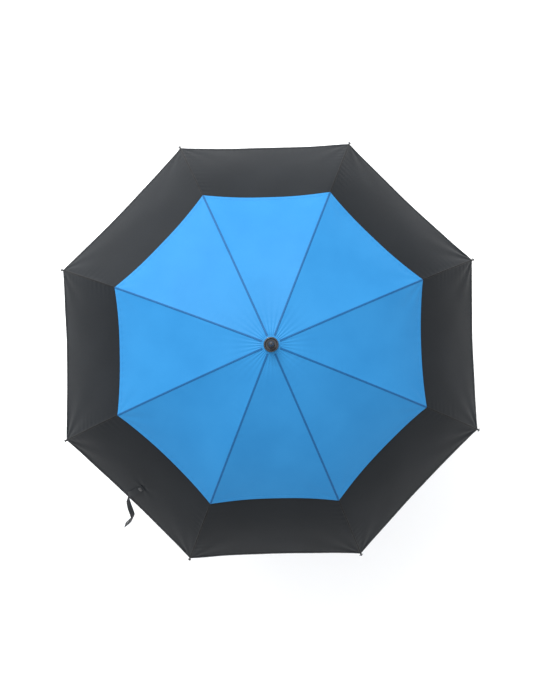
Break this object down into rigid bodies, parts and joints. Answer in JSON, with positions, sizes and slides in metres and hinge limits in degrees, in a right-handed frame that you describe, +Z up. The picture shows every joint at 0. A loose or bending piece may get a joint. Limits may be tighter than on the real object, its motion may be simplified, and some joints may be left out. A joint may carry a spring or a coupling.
{
  "type": "golf umbrella",
  "caption": "Large vented double-canopy umbrella with folding ribs, a sliding runner, spring catches and a straight handle.",
  "frame": {"origin": "centre of the handle's bottom end", "axes": "+Z up the shaft to the ferrule; ribs at 22.5 degrees from +X and every 45 degrees; the tie strap hangs from the gore between -X and -Y"},
  "size_m": [1.2186, 1.2186, 1.015],
  "materials": {
    "shaft_paint": "black anodised tube, satin",
    "black_plastic": "moulded nylon, satin black",
    "steel": "plated spring steel",
    "grip_foam": "dense moulded grip, matt black",
    "snap_black": "black lacquered press stud",
    "fibreglass": "pultruded fibreglass rod, satin black",
    "cloth_blue": "plain-weave pongee, sky blue",
    "cloth_black": "plain-weave pongee, black"
  },
  "bodies": {
    "shaft": {"shaft_tube": "shaft_paint", "crown_hub": "black_plastic", "crown_wire": "steel", "canopy_cap": "black_plastic", "ferrule_tip": "black_plastic", "top_stop": "steel", "handle_core": "black_plastic", "handle_grip": "grip_foam", "handle_end_cap": "black_plastic", "handle_collar": "black_plastic"},
    "runner": {"runner_sleeve": "black_plastic", "runner_wire": "steel"},
    "top_catch": {"top_catch": "steel"},
    "bottom_catch": {"bottom_catch": "steel"},
    "rib_1": {"rib_inner_1": "fibreglass", "upper_panel_1": "cloth_blue"},
    "rib_end_1": {"rib_outer_1": "fibreglass", "lower_panel_1": "cloth_black"},
    "strut_1": {"stretcher_1": "fibreglass"},
    "rib_2": {"rib_inner_2": "fibreglass", "upper_panel_2": "cloth_blue"},
    "rib_end_2": {"rib_outer_2": "fibreglass", "lower_panel_2": "cloth_black"},
    "strut_2": {"stretcher_2": "fibreglass"},
    "rib_3": {"rib_inner_3": "fibreglass", "upper_panel_3": "cloth_blue"},
    "rib_end_3": {"rib_outer_3": "fibreglass", "lower_panel_3": "cloth_black"},
    "strut_3": {"stretcher_3": "fibreglass"},
    "rib_4": {"rib_inner_4": "fibreglass", "upper_panel_4": "cloth_blue"},
    "rib_end_4": {"rib_outer_4": "fibreglass", "lower_panel_4": "cloth_black"},
    "strut_4": {"stretcher_4": "fibreglass"},
    "rib_5": {"rib_inner_5": "fibreglass", "upper_panel_5": "cloth_blue"},
    "rib_end_5": {"rib_outer_5": "fibreglass", "lower_panel_5": "cloth_black"},
    "strut_5": {"stretcher_5": "fibreglass"},
    "rib_6": {"rib_inner_6": "fibreglass", "upper_panel_6": "cloth_blue"},
    "rib_end_6": {"rib_outer_6": "fibreglass", "lower_panel_6": "cloth_black", "tie_strap": "cloth_black", "strap_snap": "snap_black"},
    "strut_6": {"stretcher_6": "fibreglass"},
    "rib_7": {"rib_inner_7": "fibreglass", "upper_panel_7": "cloth_blue"},
    "rib_end_7": {"rib_outer_7": "fibreglass", "lower_panel_7": "cloth_black"},
    "strut_7": {"stretcher_7": "fibreglass"},
    "rib_8": {"rib_inner_8": "fibreglass", "upper_panel_8": "cloth_blue"},
    "rib_end_8": {"rib_outer_8": "fibreglass", "lower_panel_8": "cloth_black"},
    "strut_8": {"stretcher_8": "fibreglass"}
  },
  "joints": [
    {"name": "runner_slide", "type": "slide", "parent": "shaft", "child": "runner", "axis": [0, 0, 1], "range_m": [-0.4609, 0], "deforming": ["upper_panel_1", "upper_panel_2", "upper_panel_3", "upper_panel_4", "upper_panel_5", "upper_panel_6", "upper_panel_7", "upper_panel_8", "lower_panel_1", "lower_panel_2", "lower_panel_3", "lower_panel_4", "lower_panel_5", "lower_panel_6", "lower_panel_7", "lower_panel_8", "tie_strap", "strap_snap", "top_catch", "bottom_catch"]},
    {"name": "top_catch_press", "type": "slide", "parent": "shaft", "child": "top_catch", "axis": [-1, 0, 0], "range_m": [0, 0.0034], "stiffness_N_per_m": 2000},
    {"name": "bottom_catch_press", "type": "slide", "parent": "shaft", "child": "bottom_catch", "axis": [-1, 0, 0], "range_m": [0, 0.0034], "stiffness_N_per_m": 2000},
    {"name": "rib_fold_1", "type": "hinge", "parent": "shaft", "child": "rib_1", "pos_m": [0.01109, 0.00459, 0.94], "axis": [-0.3827, 0.9239, 0], "range_deg": [0, 72.72]},
    {"name": "rib_flex_1", "type": "hinge", "parent": "rib_1", "child": "rib_end_1", "pos_m": [0.3032, 0.12559, 0.84933], "axis": [-0.3827, 0.9239, 0], "range_deg": [-20.39, 0]},
    {"name": "strut_fold_1", "type": "hinge", "parent": "rib_1", "child": "strut_1", "pos_m": [0.30039, 0.12442, 0.84248], "axis": [-0.3827, 0.9239, 0], "range_deg": [-145.43, 0]},
    {"name": "rib_fold_2", "type": "hinge", "parent": "shaft", "child": "rib_2", "pos_m": [0.00459, 0.01109, 0.94], "axis": [-0.9239, 0.3827, 0], "range_deg": [0, 72.72]},
    {"name": "rib_flex_2", "type": "hinge", "parent": "rib_2", "child": "rib_end_2", "pos_m": [0.12559, 0.3032, 0.84933], "axis": [-0.9239, 0.3827, 0], "range_deg": [-20.39, 0]},
    {"name": "strut_fold_2", "type": "hinge", "parent": "rib_2", "child": "strut_2", "pos_m": [0.12442, 0.30039, 0.84248], "axis": [-0.9239, 0.3827, 0], "range_deg": [-145.43, 0]},
    {"name": "rib_fold_3", "type": "hinge", "parent": "shaft", "child": "rib_3", "pos_m": [-0.00459, 0.01109, 0.94], "axis": [-0.9239, -0.3827, 0], "range_deg": [0, 72.72]},
    {"name": "rib_flex_3", "type": "hinge", "parent": "rib_3", "child": "rib_end_3", "pos_m": [-0.12559, 0.3032, 0.84933], "axis": [-0.9239, -0.3827, 0], "range_deg": [-20.39, 0]},
    {"name": "strut_fold_3", "type": "hinge", "parent": "rib_3", "child": "strut_3", "pos_m": [-0.12442, 0.30039, 0.84248], "axis": [-0.9239, -0.3827, 0], "range_deg": [-145.43, 0]},
    {"name": "rib_fold_4", "type": "hinge", "parent": "shaft", "child": "rib_4", "pos_m": [-0.01109, 0.00459, 0.94], "axis": [-0.3827, -0.9239, 0], "range_deg": [0, 72.72]},
    {"name": "rib_flex_4", "type": "hinge", "parent": "rib_4", "child": "rib_end_4", "pos_m": [-0.3032, 0.12559, 0.84933], "axis": [-0.3827, -0.9239, 0], "range_deg": [-20.39, 0]},
    {"name": "strut_fold_4", "type": "hinge", "parent": "rib_4", "child": "strut_4", "pos_m": [-0.30039, 0.12442, 0.84248], "axis": [-0.3827, -0.9239, 0], "range_deg": [-145.43, 0]},
    {"name": "rib_fold_5", "type": "hinge", "parent": "shaft", "child": "rib_5", "pos_m": [-0.01109, -0.00459, 0.94], "axis": [0.3827, -0.9239, 0], "range_deg": [0, 72.72]},
    {"name": "rib_flex_5", "type": "hinge", "parent": "rib_5", "child": "rib_end_5", "pos_m": [-0.3032, -0.12559, 0.84933], "axis": [0.3827, -0.9239, 0], "range_deg": [-20.39, 0]},
    {"name": "strut_fold_5", "type": "hinge", "parent": "rib_5", "child": "strut_5", "pos_m": [-0.30039, -0.12442, 0.84248], "axis": [0.3827, -0.9239, 0], "range_deg": [-145.43, 0]},
    {"name": "rib_fold_6", "type": "hinge", "parent": "shaft", "child": "rib_6", "pos_m": [-0.00459, -0.01109, 0.94], "axis": [0.9239, -0.3827, 0], "range_deg": [0, 72.72]},
    {"name": "rib_flex_6", "type": "hinge", "parent": "rib_6", "child": "rib_end_6", "pos_m": [-0.12559, -0.3032, 0.84933], "axis": [0.9239, -0.3827, 0], "range_deg": [-20.39, 0]},
    {"name": "strut_fold_6", "type": "hinge", "parent": "rib_6", "child": "strut_6", "pos_m": [-0.12442, -0.30039, 0.84248], "axis": [0.9239, -0.3827, 0], "range_deg": [-145.43, 0]},
    {"name": "rib_fold_7", "type": "hinge", "parent": "shaft", "child": "rib_7", "pos_m": [0.00459, -0.01109, 0.94], "axis": [0.9239, 0.3827, 0], "range_deg": [0, 72.72]},
    {"name": "rib_flex_7", "type": "hinge", "parent": "rib_7", "child": "rib_end_7", "pos_m": [0.12559, -0.3032, 0.84933], "axis": [0.9239, 0.3827, 0], "range_deg": [-20.39, 0]},
    {"name": "strut_fold_7", "type": "hinge", "parent": "rib_7", "child": "strut_7", "pos_m": [0.12442, -0.30039, 0.84248], "axis": [0.9239, 0.3827, 0], "range_deg": [-145.43, 0]},
    {"name": "rib_fold_8", "type": "hinge", "parent": "shaft", "child": "rib_8", "pos_m": [0.01109, -0.00459, 0.94], "axis": [0.3827, 0.9239, 0], "range_deg": [0, 72.72]},
    {"name": "rib_flex_8", "type": "hinge", "parent": "rib_8", "child": "rib_end_8", "pos_m": [0.3032, -0.12559, 0.84933], "axis": [0.3827, 0.9239, 0], "range_deg": [-20.39, 0]},
    {"name": "strut_fold_8", "type": "hinge", "parent": "rib_8", "child": "strut_8", "pos_m": [0.30039, -0.12442, 0.84248], "axis": [0.3827, 0.9239, 0], "range_deg": [-145.43, 0]}
  ],
  "couplings": [
    {"joint": "rib_fold_1", "follows": "runner_slide", "rad_per_m": -2.7531},
    {"joint": "rib_flex_1", "follows": "runner_slide", "rad_per_m": 0.77118},
    {"joint": "strut_fold_1", "follows": "runner_slide", "rad_per_m": 5.5062},
    {"joint": "rib_fold_2", "follows": "runner_slide", "rad_per_m": -2.7531},
    {"joint": "rib_flex_2", "follows": "runner_slide", "rad_per_m": 0.77118},
    {"joint": "strut_fold_2", "follows": "runner_slide", "rad_per_m": 5.5062},
    {"joint": "rib_fold_3", "follows": "runner_slide", "rad_per_m": -2.7531},
    {"joint": "rib_flex_3", "follows": "runner_slide", "rad_per_m": 0.77118},
    {"joint": "strut_fold_3", "follows": "runner_slide", "rad_per_m": 5.5062},
    {"joint": "rib_fold_4", "follows": "runner_slide", "rad_per_m": -2.7531},
    {"joint": "rib_flex_4", "follows": "runner_slide", "rad_per_m": 0.77118},
    {"joint": "strut_fold_4", "follows": "runner_slide", "rad_per_m": 5.5062},
    {"joint": "rib_fold_5", "follows": "runner_slide", "rad_per_m": -2.7531},
    {"joint": "rib_flex_5", "follows": "runner_slide", "rad_per_m": 0.77118},
    {"joint": "strut_fold_5", "follows": "runner_slide", "rad_per_m": 5.5062},
    {"joint": "rib_fold_6", "follows": "runner_slide", "rad_per_m": -2.7531},
    {"joint": "rib_flex_6", "follows": "runner_slide", "rad_per_m": 0.77118},
    {"joint": "strut_fold_6", "follows": "runner_slide", "rad_per_m": 5.5062},
    {"joint": "rib_fold_7", "follows": "runner_slide", "rad_per_m": -2.7531},
    {"joint": "rib_flex_7", "follows": "runner_slide", "rad_per_m": 0.77118},
    {"joint": "strut_fold_7", "follows": "runner_slide", "rad_per_m": 5.5062},
    {"joint": "rib_fold_8", "follows": "runner_slide", "rad_per_m": -2.7531},
    {"joint": "rib_flex_8", "follows": "runner_slide", "rad_per_m": 0.77118},
    {"joint": "strut_fold_8", "follows": "runner_slide", "rad_per_m": 5.5062}
  ]
}
